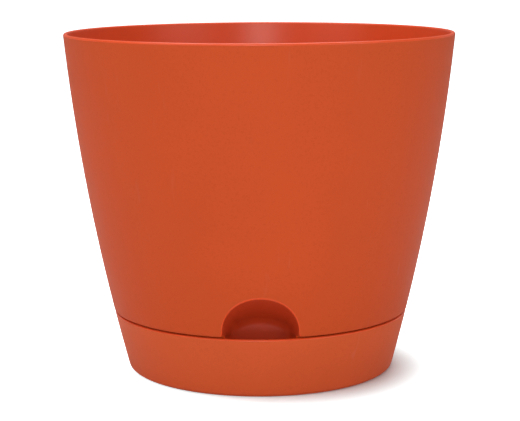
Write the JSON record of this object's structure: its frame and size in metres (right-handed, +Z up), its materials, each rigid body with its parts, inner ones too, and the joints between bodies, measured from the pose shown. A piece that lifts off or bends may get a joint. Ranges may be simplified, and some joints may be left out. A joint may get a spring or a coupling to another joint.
{
  "type": "self watering planter",
  "caption": "Tapered round plastic planter with a flush reservoir saucer, an arched filling niche at its foot, a perforated soil platform and wick cups inside.",
  "frame": {"origin": "centre of the base on the surface that the planter stands on", "axes": "+Z up along the axis of the pot; the filling niche faces -Y; +X to the right seen from the front"},
  "size_m": [0.2098, 0.2098, 0.183],
  "materials": {
    "pot_plastic": "fine matte moulded skin outside, satin inside",
    "insert_plastic": "plain moulded polypropylene, dark grey"
  },
  "bodies": {
    "saucer": {"reservoir_saucer": "pot_plastic"},
    "pot": {"planter_pot": "pot_plastic"},
    "platform": {"soil_platform": "insert_plastic"},
    "cup_back_right": {"wick_cup_back_right": "insert_plastic"},
    "cup_back_left": {"wick_cup_back_left": "insert_plastic"},
    "cup_front_left": {"wick_cup_front_left": "insert_plastic"},
    "cup_front_right": {"wick_cup_front_right": "insert_plastic"}
  },
  "joints": [
    {"name": "pot_lift", "type": "slide", "parent": "saucer", "child": "pot", "axis": [0, 0, 1], "range_m": [0, 0.06]},
    {"name": "platform_lift", "type": "slide", "parent": "pot", "child": "platform", "axis": [0, 0, 1], "range_m": [0, 0.2]},
    {"name": "cup_back_right_lift", "type": "slide", "parent": "platform", "child": "cup_back_right", "axis": [0, 0, 1], "range_m": [0, 0.2]},
    {"name": "cup_back_left_lift", "type": "slide", "parent": "platform", "child": "cup_back_left", "axis": [0, 0, 1], "range_m": [0, 0.2]},
    {"name": "cup_front_left_lift", "type": "slide", "parent": "platform", "child": "cup_front_left", "axis": [0, 0, 1], "range_m": [0, 0.2]},
    {"name": "cup_front_right_lift", "type": "slide", "parent": "platform", "child": "cup_front_right", "axis": [0, 0, 1], "range_m": [0, 0.2]}
  ]
}
